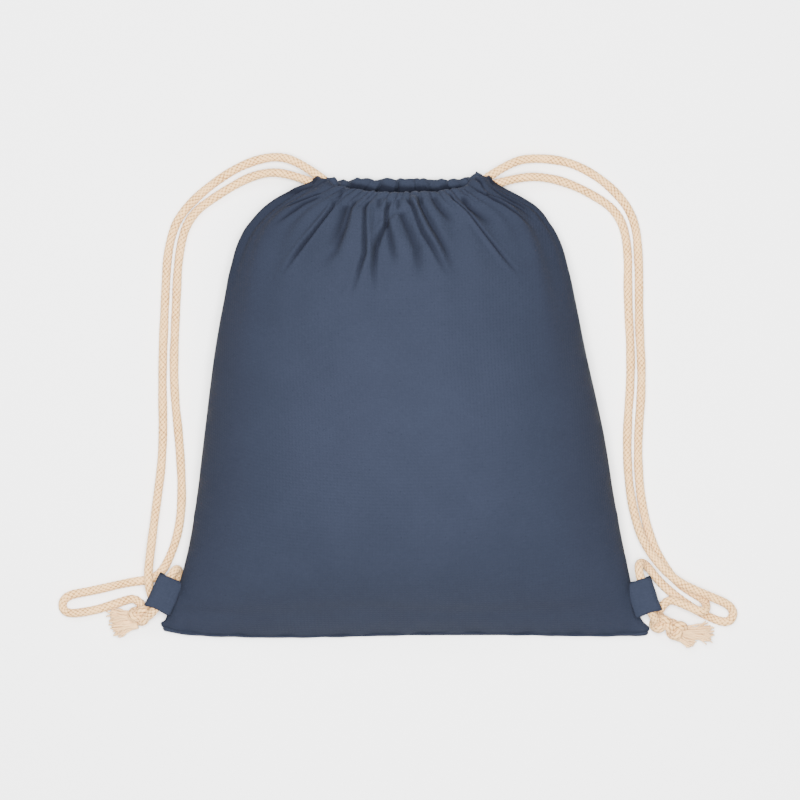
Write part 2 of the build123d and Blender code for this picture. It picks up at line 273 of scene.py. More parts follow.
def fibre_tuft(name, root, tip, count, spread, root_r, thickness=0.9):
    """A frayed end: loose yarns that fan out and curl from root to tip, in mm."""
    root = np.array(root, float)
    tip = np.array(tip, float)
    axis = tip - root
    length = np.linalg.norm(axis)
    axis = axis / length
    side = np.cross(axis, (0.0, 0.0, 1.0))
    side /= np.linalg.norm(side)
    up = np.cross(side, axis)
    verts, faces = [], []
    steps, sides = 14, 6
    for _ in range(count):
        ring = math.sqrt(rng.random()) * root_r
        around = rng.random() * 2 * math.pi
        start = root + (side * math.cos(around) + up * math.sin(around) * 0.8) * ring
        reach = length * (0.78 + 0.26 * rng.random()) * (1.0 - 0.22 * (ring / root_r) ** 2)
        fan = (side * math.cos(around) + up * 0.5 * math.sin(around)) * spread * rng.random() ** 0.7
        curl = (side * rng.normal() + up * 0.6 * rng.normal()) * 1.7
        wave = rng.random() * 6.28
        base = len(verts)
        for k in range(steps):
            t = k / (steps - 1)
            place = start + axis * reach * t + fan * t ** 1.6
            place = place + curl * math.sin(t * 5 + wave) * t * 0.9
            place[2] = max(place[2], thickness + 0.1)
            r = thickness * (1 - 0.35 * t) * (1 + 0.2 * math.sin(t * 19 + wave))
            for j in range(sides):
                bend = math.pi / 3 * j + t * 3
                verts.append((place + side * math.cos(bend) * r + up * math.sin(bend) * r) * MM)
        faces += ring_faces(base, steps, sides) + end_caps(base, steps, sides)
    obj = new_object(name, verts, faces, [(v[0] * 100, v[1] * 100) for v in verts])
    add_attribute(obj, "crown", [0.8] * len(verts))
    return obj


def make_knot(name, centre, angle, size, radius, phase=0.0):
    curve = knot_curve(centre, angle, size, phase) * MM
    return braided_tube(name, curve, radius, relief=0.34)


left_knot = make_knot("left_overhand_knot", (-202.0, -161.5, 7.8), 0.2, (14.5, 10.5, 7.6), 3.35)
right_knot = make_knot("right_overhand_knot", (200.0, -166.8, 7.8), -0.6, (14.5, 11.5, 7.6), 3.35)
right_knot_b = make_knot("right_knot_second", (212.0, -172.3, 7.6), -0.3, (14.0, 11.0, 7.4), 3.3, 0.8)
left_tail_a = fibre_tuft("left_frayed_end_a", (-207.5, -162.5, 6.4), (-228.5, -162.5, 4.4), 42, 3.6, 3.4)
left_tail_b = fibre_tuft("left_frayed_end_b", (-204.5, -168.8, 6.2), (-226.5, -173.0, 4.4), 42, 3.8, 3.4)
right_tail_a = fibre_tuft("right_frayed_end_a", (216.0, -174.2, 6.6), (243.0, -176.0, 4.6), 60, 5.2, 3.6)
right_tail_b = fibre_tuft("right_frayed_end_b", (212.5, -178.0, 6.0), (228.0, -183.0, 4.4), 32, 3.0, 2.8)


# ------------------------------------------------------------------ shape of the bag
def curve_through(keys, values, at):
    """Smooth values at the places wanted, passing through the values at the keys."""
    keys = np.asarray(keys, float)
    values = np.asarray(values, float)
    slope = np.gradient(values, keys)
    i = np.clip(np.searchsorted(keys, at) - 1, 0, len(keys) - 2)
    width = keys[i + 1] - keys[i]
    t = (at - keys[i]) / width
    h00 = 2 * t ** 3 - 3 * t ** 2 + 1
    h10 = t ** 3 - 2 * t ** 2 + t
    h01 = -2 * t ** 3 + 3 * t ** 2
    h11 = t ** 3 - t ** 2
    return (
        h00 * values[i] + h10 * width * slope[i] + h01 * values[i + 1] + h11 * width * slope[i + 1]
    )


# Rows from the bottom seam to the mouth: left edge x, right edge x, edge y, edge z,
# then y and z of the middle of the front, and z of the middle of the back.
rows_of_bag = np.array([
    (-185.2, 190.9, -173.6, 3.2, -177.6, 3.2, 0.5),
    (-186.8, 191.8, -171.4, 4.0, -175.2, 8.0, 0.5),
    (-183.4, 187.0, -167.0, 5.2, -169.4, 17.5, 0.5),
    (-181.2, 183.6, -160.5, 7.0, -161.5, 28.0, 0.5),
    (-178.6, 181.4, -154.5, 9.0, -154.0, 38.0, 0.5),
    (-171.3, 176.7, -135.0, 14.0, -132.0, 60.0, 0.5),
    (-163.0, 169.8, -103.0, 19.5, -97.0, 80.0, 0.5),
    (-158.0, 164.0, -72.0, 22.5, -62.0, 89.5, 0.5),
    (-151.3, 155.0, -18.0, 25.5, -5.0, 93.5, 0.5),
    (-143.4, 141.3, 43.5, 26.0, 45.0, 87.5, 0.5),
    (-136.4, 133.6, 82.0, 25.0, 85.0, 76.5, 0.5),
    (-131.6, 128.6, 105.0, 23.5, 108.0, 68.0, 0.5),
    (-124.0, 121.6, 128.2, 21.5, 127.0, 59.5, 0.6),
    (-116.7, 115.0, 139.8, 20.0, 137.5, 54.2, 1.0),
    (-101.3, 102.0, 155.2, 19.0, 148.0, 49.2, 2.6),
    (-82.5, 81.5, 167.0, 18.5, 155.5, 45.4, 5.0),
    (-64.9, 67.4, 175.2, 18.5, 162.4, 41.4, 6.6),
])
middle_run = np.concatenate([[0.0], np.cumsum(
    np.linalg.norm(np.diff(rows_of_bag[:, 4:6], axis=0), axis=1)
)])

# Folds that run down from the gathers, given to half a mm: points in plan, depth,
# width at the start and at the end, and the side that stands up beside the fold.
FOLD_WIDTH = 0.72      # share of the listed widths that a groove's curve uses
folds = [
    ([(-62, 164), (-86, 153), (-97.5, 147.5)], 1.0, 1.0, 1.4, 1),
    ([(-63, 160.5), (-74.5, 155), (-86, 147), (-100.5, 136)], 1.0, 1.0, 1.6, 1),
    ([(-68.5, 169.5), (-86, 164.5), (-100.5, 157)], 0.9, 1.2, 1.6, 1),
    ([(-50.5, 159), (-54, 151.5), (-74.5, 124.5), (-86, 108), (-94.5, 96.5)], 1.9, 1.0, 1.6, -1),
    ([(-42.5, 155), (-49.5, 131), (-57, 118.5)], 1.6, 3.6, 6.0, 1),
    ([(-35, 159), (-38.5, 151.5), (-42.5, 136), (-50, 118.5), (-63.5, 103)], 1.3, 1.5, 5.0, 1),
    ([(-24, 158), (-28, 151.5), (-28, 115.5), (-32, 103), (-39.5, 77)], 1.9, 1.3, 2.6, 1),
    ([(-17, 159.5), (-18, 149.5)], 1.0, 1.4, 2.2, 1),
    ([(-8.5, 158), (-11.5, 150.5), (-11.5, 140.5), (-16.5, 130), (-19.5, 120.5), (-20.5, 106),
      (-20, 82)], 1.9, 1.5, 2.6, -1),
    ([(-11.5, 143.5), (-4, 105)], 1.4, 1.8, 4.2, 1),
    ([(-2.5, 159), (-3, 148.5)], 1.0, 1.4, 2.0, 1),
    ([(-1, 149.5), (11.5, 120.5), (15, 91.5)], 1.5, 2.8, 5.5, -1),
    ([(3.5, 160), (8.5, 152.5), (11.5, 143.5), (16, 132), (22, 122.5), (38.5, 93.5)],
     2.0, 1.3, 3.4, 1),
    ([(13.5, 162), (14.5, 154), (20, 143.5), (33.5, 118.5), (42, 95.5)], 2.2, 2.4, 5.5, -1),
    ([(24, 161), (29.5, 151.5), (37.5, 143.5), (42, 138)], 1.3, 2.6, 4.0, 1),
    ([(36.5, 164), (40, 157), (51, 147.5), (68, 127), (93, 95.5)], 2.1, 1.0, 1.5, -1),
    ([(46.5, 161), (52.5, 152.5), (62.5, 145.5), (73, 140)], 1.5, 2.6, 4.6, 1),
    ([(58.5, 165), (68, 159), (78, 154), (91, 145), (103, 136)], 1.3, 0.9, 1.3, -1),
    ([(63, 162.5), (78, 159), (91, 153), (104.5, 143.5)], 1.1, 0.9, 1.3, -1),
    ([(69, 168.5), (79.5, 162), (91, 156), (102, 148.5)], 0.9, 1.0, 1.4, -1),
    ([(55, 174), (61.5, 169.5), (65, 165)], 1.2, 1.1, 1.2, -1),
    ([(-61.5, 174), (-49.5, 168.5)], 0.9, 1.1, 1.6, 1),
    ([(-45.5, 166.5), (-47.5, 160), (-50, 156)], 0.9, 1.3, 2.2, 1),
]


def fold_relief(x, y):
    """Height of the folds over the smooth shape, and the strength of painted shade in the folds at each
    point.
    """
    height = np.zeros_like(x)
    painted_shade = np.zeros_like(x)
    for points, depth, w_start, w_end, side in folds:
        points = np.array(points)
        best = np.full(x.shape, 1e9)
        signed = np.zeros_like(x)
        along = np.zeros_like(x)
        runs = np.linalg.norm(np.diff(points, axis=0), axis=1)
        done = 0.0
        near = (
            (x > points[:, 0].min() - 30) & (x < points[:, 0].max() + 30)
            & (y > points[:, 1].min() - 30) & (y < points[:, 1].max() + 30)
        )
        for a, b, run in zip(points[:-1], points[1:], runs):
            d = (b - a) / run
            t = np.clip((x - a[0]) * d[0] + (y - a[1]) * d[1], 0, run)
            px = x - a[0] - d[0] * t
            py = y - a[1] - d[1] * t
            dist = np.hypot(px, py)
            closer = dist < best
            best = np.where(closer, dist, best)
            signed = np.where(closer, np.sign(d[0] * py - d[1] * px) * dist, signed)
            along = np.where(closer, (done + t) / runs.sum(), along)
            done += run
        width = FOLD_WIDTH * (w_start + (w_end - w_start) * along)
        fade = smoothstep(along / 0.06 + 0.15) * (1 - smoothstep((along - 0.5) / 0.5))
        groove = np.exp(-(best / width) ** 2) * fade * near
        away = signed * side
        bank = np.exp(-((away - 2.6 * width) / (2.3 * width)) ** 2) * fade * near
        other = np.exp(-((away + 2.2 * width) / (1.8 * width)) ** 2) * fade * near
        height += depth * (-1.5 * groove + 1.05 * bank + 0.3 * other)
        # painted shade in each groove, stronger where the fold is deeper and narrower
        painted_shade += 1.25 * groove * min(depth / 1.5, 1.0) / (1 + 0.26 * width)
    return height, np.clip(painted_shade, 0, 1)


def gathers(u, seed, count):
    """Rounded gathers with tight valleys between them, around the mouth; u runs 0 to 1."""
    local = np.random.default_rng(seed)
    edges = np.cumsum(0.55 + 0.9 * local.random(count))
    edges = np.concatenate([[0.0], edges]) / edges[-1]
    tall = 0.55 + 0.75 * local.random(count)
    i = np.clip(np.searchsorted(edges, u, side="right") - 1, 0, count - 1)
    t = (u - edges[i]) / (edges[i + 1] - edges[i])
    return np.sqrt(np.clip(1 - (2 * t - 1) ** 2, 0, 1)) * tall[i]


COLUMNS = 400
FRONT_ROWS = 270
BACK_ROWS = 150
FLOOR_GAP = 0.25       # the lowest height of any cloth, in mm


def bag_surface(front):
    """Grid of points of the front or back, in mm, with the strength of painted shade at each."""
    count = FRONT_ROWS if front else BACK_ROWS
    run = np.linspace(0.0, 1.0, count) ** 0.92 * middle_run[-1]
    table = [curve_through(middle_run, rows_of_bag[:, k], run)[:, None] for k in range(7)]
    left, right, edge_y, edge_z, mid_y, top_z, under_z = table
    angle = np.linspace(math.pi, 0.0, COLUMNS)[None, :]
    c, s = np.cos(angle), np.sin(angle)
    mid, half = (left + right) / 2, (right - left) / 2
    x = mid + half * c
    near_mouth = smoothstep((run / middle_run[-1] - 0.62) / 0.38)[:, None]
    near_bottom = 1 - smoothstep(run / 34.0)[:, None]
    if front:
        across = s ** (1.0 + 0.45 * near_mouth - 0.68 * near_bottom)
        y = edge_y + (mid_y - edge_y) * across
        z = edge_z + (top_z - edge_z) * s ** (1.0 + 0.12 * near_mouth)
    else:
        reach = np.clip((np.abs(c) * half - (half - 60.0)) / 60.0, 0, 1)
        rolled = edge_z * (1 - np.sqrt(np.clip(1 - reach ** 2, 0, 1)))
        y = edge_y + (-1.6 * near_mouth) * s ** 0.6
        y = y + (mid_y - edge_y) * s ** 0.32 * near_bottom
        lifted = under_z + (edge_z - under_z) * np.abs(c) ** (6 - 3.5 * near_mouth)
        z = np.where(near_mouth > 0, rolled * (1 - near_mouth) + lifted * near_mouth, rolled)
        z = np.maximum(z, under_z * (s > 0.02))
        z = z + (3.2 - z) * (1 - smoothstep(run / 9.0)[:, None])
    grid = np.stack([x, y, z], axis=2)

    # distances along the cloth, for the weave
    step_u = np.linalg.norm(np.diff(grid, axis=1), axis=2)
    u_mm = np.concatenate([np.zeros((count, 1)), np.cumsum(step_u, axis=1)], axis=1)
    u_mm = u_mm - u_mm[:, COLUMNS // 2][:, None]
    step_v = np.linalg.norm(np.diff(grid, axis=0), axis=2)
    v_mm = np.concatenate([np.zeros((1, COLUMNS)), np.cumsum(step_v, axis=0)], axis=0)

    normal = surface_normals(grid)
    if not front:
        normal = -normal
    u = np.linspace(0.0, 1.0, COLUMNS)[None, :] * np.ones((count, 1))
    u_x = (c + 1) / 2 * np.ones((count, 1))
    from_mouth = v_mm[-1][None, :] - v_mm
    from_bottom = v_mm
    edge = np.clip(s, 0, 1) ** 0.5
    rise = np.zeros_like(u)
    from_side = (1 - np.abs(c)) * half
    calm = smoothstep(from_side / 14.0)         # the gathers stop short of the corners
    if front:
        height, painted_shade = fold_relief(x, y)
        rise += height * smoothstep(edge * 2.2)
        # gathers at the lip, fading down the front
        wander = 0.012 * np.sin(from_mouth * 0.05 + u * 9)
        lobes = gathers(np.clip(u_x + wander, 0, 0.9999), 5, 23)
        rise += 1.9 * (lobes - 0.75) * calm * np.exp(-(from_mouth / 15.0) ** 1.3)
        # painted shade in the valleys between the gathers, near the lip
        valley = np.clip(1 - lobes / 0.5, 0, 1)
        painted_shade = np.clip(painted_shade + 0.75 * np.exp(-(from_mouth / 13.0) ** 2) * valley, 0, 1)
        # long soft folds that carry on down the front
        for k, size, shift in ((5, 1.3, 0.3), (8, 1.1, 1.9), (13, 0.8, 4.0), (19, 0.42, 2.2)):
            bend = 0.8 * np.sin(from_mouth * 0.012 + shift)
            rise += size * np.sin(2 * math.pi * k * u + shift * 3 + bend) * np.exp(
                -(from_mouth / (150.0 - 4 * k)) ** 2
            ) * smoothstep(from_mouth / 30)
        # the stuffing shows as broad, shallow hills
        rise += 1.5 * np.sin(x * 0.021 + 0.6) * np.sin(y * 0.017 + 1.1) * edge
        rise += 0.7 * np.sin(x * 0.043 + y * 0.012 + 2.0) * np.sin(y * 0.031 - 0.7) * edge
        # painted shade towards the side seams, stronger away from the bottom seam
        painted_side_shade = 0.55 * np.abs(c) ** 2.6 * (0.25 + 0.75 * smoothstep(from_bottom / 130.0))
        painted_shade = np.clip(painted_shade + painted_side_shade, 0, 1)
        band = np.exp(-((y + 157.0 + 1.5 * np.sin(x * 0.03)) / 5.0) ** 2)
        rise += -0.8 * band * edge
    else:
        painted_shade = np.zeros_like(u)
        lobes = gathers(np.clip(u_x, 0, 0.9999), 11, 19)
        rise += 1.6 * (lobes - 0.75) * calm * np.exp(-(from_mouth / 15.0) ** 1.3)
        # painted shade in the valleys between the back's gathers, near the lip
        valley = np.clip(1 - lobes / 0.5, 0, 1)
        painted_shade = np.clip(painted_shade + 0.6 * np.exp(-(from_mouth / 12.0) ** 2) * valley, 0, 1)
        local = np.random.default_rng(3)
        for k in (4, 7, 11, 16):
            shift = local.random() * 6.28
            rise += 0.9 * np.sin(2 * math.pi * k * u + shift) * np.exp(-(from_mouth / 70.0) ** 2)
    # small puckers along the bottom seam and up the side seams
    pucker = np.sin(x * 0.31 + 0.9 * np.sin(x * 0.05)) * 0.5 + np.sin(x * 0.17 + 1.0) * 0.6
    rise += 0.75 * pucker * np.exp(-(from_bottom / 11.0) ** 1.5) * smoothstep(from_bottom / 3.0)
    side_run = np.sin(y * 0.20 + 1.6 * np.sin(y * 0.031)) + 0.5 * np.sin(y * 0.37 + 1.0)
    side_fade = np.exp(-(from_side / 5.0) ** 1.2) * smoothstep(from_side / 1.2)
    rise += 0.55 * side_run * side_fade * (1 - near_mouth)
    grid = grid + normal * rise[:, :, None]
    if not front:
        grid[:, :, 2] = np.maximum(grid[:, :, 2], FLOOR_GAP)

    # the right corner of the mouth stands up as a rounded lobe
    lobe = np.exp(-(((grid[:, :, 0] - 61.0) / 8.0) ** 2 + ((grid[:, :, 1] - 173.5) / 8.0) ** 2))
    grid[:, :, 1] += 4.2 * lobe
    grid[:, :, 2] += 2.6 * lobe * (1.0 if front else 0.6)
    nub = np.exp(-(((grid[:, :, 0] + 61.0) / 5.0) ** 2 + ((grid[:, :, 1] - 174.0) / 5.0) ** 2))
    grid[:, :, 1] += 2.0 * nub
    grid[:, :, 2] += 1.2 * nub
    # the left ear of the bottom seam turns up to a point
    ear = np.exp(-(((grid[:, :, 0] + 188.0) / 15.0) ** 2 + ((grid[:, :, 1] + 174.0) / 8.0) ** 2))
    grid[:, :, 1] += 3.4 * ear
    return grid, u_mm, v_mm, painted_shade


def surface_normals(grid):
    du = np.gradient(grid, axis=1)
    dv = np.gradient(grid, axis=0)
    normal = np.cross(du, dv)
    length = np.linalg.norm(normal, axis=2)[:, :, None]
    return normal / np.maximum(length, 1e-9)


# the hems: how far the cloth goes down inside, and how round it turns at the lip, in mm
HEM_DEPTH = 17.0
FRONT_HEM_R = 4.2
BACK_HEM_R = 3.8


def roll_over(grid, u_mm, v_mm, painted_shade, front, radius):
    """Rows that turn the cloth over at the mouth and down inside, as its hem does."""
    normal = surface_normals(grid)[-1]
    if not front:
        normal = -normal
    # smooth the lip's own directions so that neighbouring rows don't cross
    normal = smoothed(normal, 25)
    towards = smoothed(grid[-1] - grid[-9], 25)
    normal /= np.linalg.norm(normal, axis=1)[:, None]
    towards -= normal * (towards * normal).sum(axis=1)[:, None]
    towards /= np.linalg.norm(towards, axis=1)[:, None]
    s = np.sin(np.linspace(math.pi, 0.0, COLUMNS))
    open_share = 0.10 + 0.90 * smoothstep(s / 0.62)
    size = (radius * open_share)[:, None]
    rows, extra_v, extra_painted_shade = [], [], []
    in_plan = (1 - np.cos(np.linspace(0, math.pi, COLUMNS))) / 2.0002
    ripple = gathers(in_plan, 31 if front else 32, 19)
    lip_wave = (ripple - 0.7)[:, None]
    for angle in np.linspace(0, math.pi, 13)[1:]:
        place = grid[-1] + size * (towards * math.sin(angle) - normal * (1 - math.cos(angle)))
        place = place + towards * lip_wave * 1.3 * math.sin(angle) * open_share[:, None]
        rows.append(place)
        extra_v.append(v_mm[-1] + radius * angle)
        # painted shade: the lip's shade fades over the roll, and the front's roll darkens on its far side as
        # it turns down inside
        shade = smoothstep((angle - 1.9) / 1.1) * open_share if front else 0.0
        extra_painted_shade.append(np.clip(painted_shade[-1] * (1 - angle / 4) + shade, 0, 1))
    ripple = gathers(np.linspace(0, 0.9999, COLUMNS), 21 if front else 22, 23)[:, None]
    for inside in np.linspace(0, 1, 12)[1:]:
        place = rows[11] - towards * inside * HEM_DEPTH * open_share[:, None]
        place = place + normal * (ripple - 0.7) * 1.2 * inside
        if not front:
            place = place + np.array([0, 0, 1.0]) * inside
        rows.append(place)
        extra_v.append(v_mm[-1] + radius * math.pi + inside * HEM_DEPTH)
        # painted shade inside the hem: full on the front, rising quickly down inside on the back
        shade = 1.0 if front else float(smoothstep((inside - 0.02) / 0.20))
        extra_painted_shade.append(np.full(COLUMNS, shade))
    grid = np.concatenate([grid, np.array(rows)], axis=0)
    v_mm = np.concatenate([v_mm, np.array(extra_v)], axis=0)
    u_mm = np.concatenate([u_mm, np.repeat(u_mm[-1:], len(rows), axis=0)], axis=0)
    painted_shade = np.concatenate([painted_shade, np.array(extra_painted_shade)], axis=0)
    return grid, u_mm, v_mm, painted_shade


def cloth_object(name, front, radius):
    """One panel with its turned hem, and its grid of points up to the lip, in mm."""
    grid, u_mm, v_mm, painted_shade = bag_surface(front)
    plain = grid.copy()
    grid, u_mm, v_mm, painted_shade = roll_over(grid, u_mm, v_mm, painted_shade, front, radius)
    grid[:, :, 2] = np.maximum(grid[:, :, 2], FLOOR_GAP)
    faces = grid_faces(grid.shape[0], COLUMNS)
    if not front:
        faces = [f[::-1] for f in faces]
    uv = np.stack([u_mm.ravel() / 10.0, v_mm.ravel() / 10.0], axis=1)
    obj = new_object(name, grid.reshape(-1, 3) * MM, faces, uv)
    add_attribute(obj, "painted_shade", painted_shade.ravel())
    return obj, plain


bag_front, front_grid = cloth_object("bag_front_cloth", True, FRONT_HEM_R)
bag_back, back_grid = cloth_object("bag_back_cloth", False, BACK_HEM_R)


# ------------------------------------------------------------------ cords inside the hems
def hem_cord(name, grid, front, radius, back_from_lip):
    """The middle length of a thin braided cord inside the rolled hem."""
    normal = surface_normals(grid)[-1]
    if not front:
        normal = -normal
    towards = grid[-1] - grid[-9]
    towards /= np.linalg.norm(towards, axis=1)[:, None]
    line = grid[-1] - normal * (radius + 1.5) - towards * (back_from_lip + 2.2)
    # only the middle columns: nearer the corners the cloth is too flat to hide a cord
    line = smoothed(line[140:-140], 31)
    return braided_tube(name, line * MM, 1.3, around=20, step=1.0 * MM, relief=0.25)


front_cord_a = hem_cord("front_hem_cord_a", front_grid, True, FRONT_HEM_R, 0.6)
front_cord_b = hem_cord("front_hem_cord_b", front_grid, True, FRONT_HEM_R, 6.0)
back_cord_a = hem_cord("back_hem_cord_a", back_grid, False, BACK_HEM_R, 0.6)
back_cord_b = hem_cord("back_hem_cord_b", back_grid, False, BACK_HEM_R, 6.0)


# ------------------------------------------------------------------ stitches
def stitch_row(name, line, spacing=2.9, long=2.1, radius=0.22):
    """Short raised stitches along a line of points in mm."""
    points, at = even_steps(line * MM, 0.25 * MM)
    points = points / MM
    at = at / MM
    verts, faces = [], []
    rings, sides = 7, 6
    start = 0.8
    while start + long < at[-1]:
        base = len(verts)
        for k in range(rings):
            t = k / (rings - 1)
            where = start + long * t
            place = np.array([np.interp(where, at, points[:, a]) for a in range(3)])
            ahead = np.array([np.interp(where + 0.3, at, points[:, a]) for a in range(3)]) - place
            ahead /= max(np.linalg.norm(ahead), 1e-6)
            side = np.cross(ahead, (0, 0, 1.0))
            side /= max(np.linalg.norm(side), 1e-6)
            up = np.cross(side, ahead)
            r = radius * math.sin(math.pi * (0.12 + 0.76 * t))
            lift = 0.20 * math.sin(math.pi * t) - 0.05
            for j in range(sides):
                a = j * math.pi / 3
                verts.append((place + up * lift + (side * math.cos(a) + up * math.sin(a)) * r) * MM)
        faces += ring_faces(base, rings, sides)
        start += spacing
    return new_object(name, verts, faces, [(v[0] * 100, v[1] * 100) for v in verts])


def lip_line(grid, below):
    """Points on the cloth a distance below the lip, nearly from corner to corner."""
    line = []
    for j in range(30, COLUMNS - 30):
        column = grid[::-1, j]
        run = np.concatenate([[0.0], np.cumsum(np.linalg.norm(np.diff(column, axis=0), axis=1))])
        line.append([np.interp(below, run, column[:, k]) for k in range(3)])
    return np.array(line)


front_stitches = stitch_row("front_hem_stitch_row", lip_line(front_grid, 17.5))
back_stitches = stitch_row("back_hem_stitch_row", lip_line(back_grid, 17.0))


# ------------------------------------------------------------------ corner tabs
LEFT_TAB = (-184.5, -144.0)          # the middles of the tabs in plan
RIGHT_TAB = (188.2, -146.3)


def corner_tab(name, middle, down, inner, flare):
    """A folded loop of cloth round a cord, pinched flat along its sewn inner edge."""
    length, wide, thick, height = 27.0, 17.4, 10.9, 18.7
    down = np.array([down[0], down[1], 0.0])
    down /= np.linalg.norm(down)
    out = np.cross(down, (0.0, 0.0, 1.0))
    if out[0] * inner > 0:
        out = -out
    up = np.array([0.0, 0.0, 1.0])
    along_n, round_n = 34, 56
    rows = []
    for layer, inset in ((0, 0.0), (1, 0.75)):
        sweep = np.linspace(0, 1, along_n) if layer == 0 else np.linspace(1, 0, along_n)
        for t in sweep:
            ring = []
            for k in range(round_n):
                a = 2 * math.pi * k / round_n
                e = math.cos(a)
                swell = (0.5 + 0.5 * e) ** 0.62            # 0 at the sewn edge, 1 at the fold
                half_thick = (thick / 2 - inset) * (0.16 + 0.84 * swell ** 0.9)
                flat = (wide / 2 - inset) * (1.0 + 0.42 * (0.5 - 0.5 * e))
                lateral = e * flat
                vertical = math.sin(a) * half_thick
                wave = 0.45 * math.sin(t * 7 + 2 * a) + 0.3 * math.sin(t * 13 + a * 3 + 1)
                pull = flare * (t - 0.5) * 4
                place = (
                    np.array([middle[0], middle[1], height])
                    + down * ((t - 0.5) * length + 0.5 * math.sin(3 * a))
                    + out * (lateral + 0.35 * wave + pull * (0.5 + 0.5 * e))
                    + up * (vertical + 0.35 * wave * swell)
                )
                ring.append(place)
            rows.append(ring)
    grid = np.array(rows)
    faces = grid_faces(grid.shape[0], round_n, wrap=True)
    last = grid.shape[0] - 1
    for k in range(round_n):
        n = (k + 1) % round_n
        faces.append((last * round_n + k, last * round_n + n, n, k))
    t = np.repeat(np.concatenate([np.linspace(0, 1, along_n), np.linspace(1, 0, along_n)]), round_n)
    a = np.tile(np.arange(round_n) / round_n, 2 * along_n)
    uv = np.stack([t * length / 10.0, a * 4.4], axis=1)
    obj = new_object(name, grid.reshape(-1, 3) * MM, faces, uv)
    # painted shade along the pinched sewn edge and into the open ends of the loop
    sewn_edge_shade = 0.8 * np.exp(-((a - 0.5) / 0.05) ** 2)
    open_end_shade = 0.25 * np.exp(-(np.minimum(t, 1 - t) / 0.05) ** 2)
    add_attribute(obj, "painted_shade", np.clip(sewn_edge_shade + open_end_shade, 0, 1))
    return obj, out, down


left_tab_piece, left_out, left_down = corner_tab(
    "left_cord_tab", LEFT_TAB, (-0.408, -0.913), 1, flare=0.25
)
right_tab_piece, right_out, right_down = corner_tab(
    "right_cord_tab", RIGHT_TAB, (0.302, -0.953), -1, flare=0.15
)


def tab_stitches(name, middle, down, out):
    """A row of stitches on top of a tab, beside its sewn edge."""
    along_tab = np.linspace(-0.46, 0.46, 40)[:, None] * 26.0
    line = np.array([middle[0], middle[1], 20.9]) + down * along_tab - out * 5.6
    return stitch_row(name, line, spacing=2.6, long=1.8)


left_tab_stitch = tab_stitches("left_tab_stitch_row", LEFT_TAB, left_down, left_out)
right_tab_stitch = tab_stitches("right_tab_stitch_row", RIGHT_TAB, right_down, right_out)


# ------------------------------------------------------------------ bottom seam and its ears
def bottom_hem(grid):
    """The narrow turned edge along the bottom seam, ending in a small ear at each corner."""
    line = grid[0, 3:-3].copy()
    run = np.concatenate([[0.0], np.cumsum(np.linalg.norm(np.diff(line, axis=0), axis=1))])
    at = np.linspace(0, run[-1], 700)
    line = np.stack([np.interp(at, run, line[:, k]) for k in range(3)], axis=1)
    line[:, 1] += 0.22 * np.sin(line[:, 0] * 0.23) * np.sin(line[:, 0] * 0.041 + 1)
    tangent = np.gradient(line, axis=0)
    tangent /= np.linalg.norm(tangent, axis=1)[:, None]
    side = np.cross(tangent, (0.0, 0.0, 1.0))
    around = 16
    rows = []
    for k in range(len(at)):
        from_end = min(at[k], run[-1] - at[k])
        ends = math.sqrt(max(0.02, min(1.0, from_end / 2.0)))
        wide = (1.0 + 0.9 * math.exp(-(from_end / 9.0) ** 2)) * ends
        thick = (1.7 + 0.5 * math.exp(-(from_end / 9.0) ** 2)) * ends
        ring = []
        for j in range(around):
            a = 2 * math.pi * j / around
            flat = abs(math.cos(a)) ** 0.8 * math.copysign(1, math.cos(a))
            ring.append(line[k] + side[k] * flat * wide + np.array([0, 0, 1.0]) * math.sin(a) * thick)
        rows.append(ring)
    grid = np.array(rows)
    grid[:, :, 2] = np.maximum(grid[:, :, 2], FLOOR_GAP)
    faces = ring_faces(0, len(at), around) + end_caps(0, len(at), around)
    round_it = np.tile(np.arange(around) / around * 0.9, len(at))
    uv = np.stack([np.repeat(at / 10.0, around), round_it], axis=1)
    obj = new_object("bottom_turned_edge", grid.reshape(-1, 3) * MM, faces, uv)
    # a faint, even painted shade over the whole turned edge
    add_attribute(obj, "painted_shade", np.full(len(at) * around, 0.08))
    return obj


bottom_edge = bottom_hem(front_grid)


# ------------------------------------------------------------------ materials
def node(tree, kind, place, inputs=None, **values):
    """A shader node at a place; inputs gives values by name, or by number on a Math node."""
    made = tree.nodes.new(kind)
    made.location = place
    for key, value in values.items():
        setattr(made, key, value)
    for key, value in (inputs or {}).items():
        made.inputs[key].default_value = value
    return made


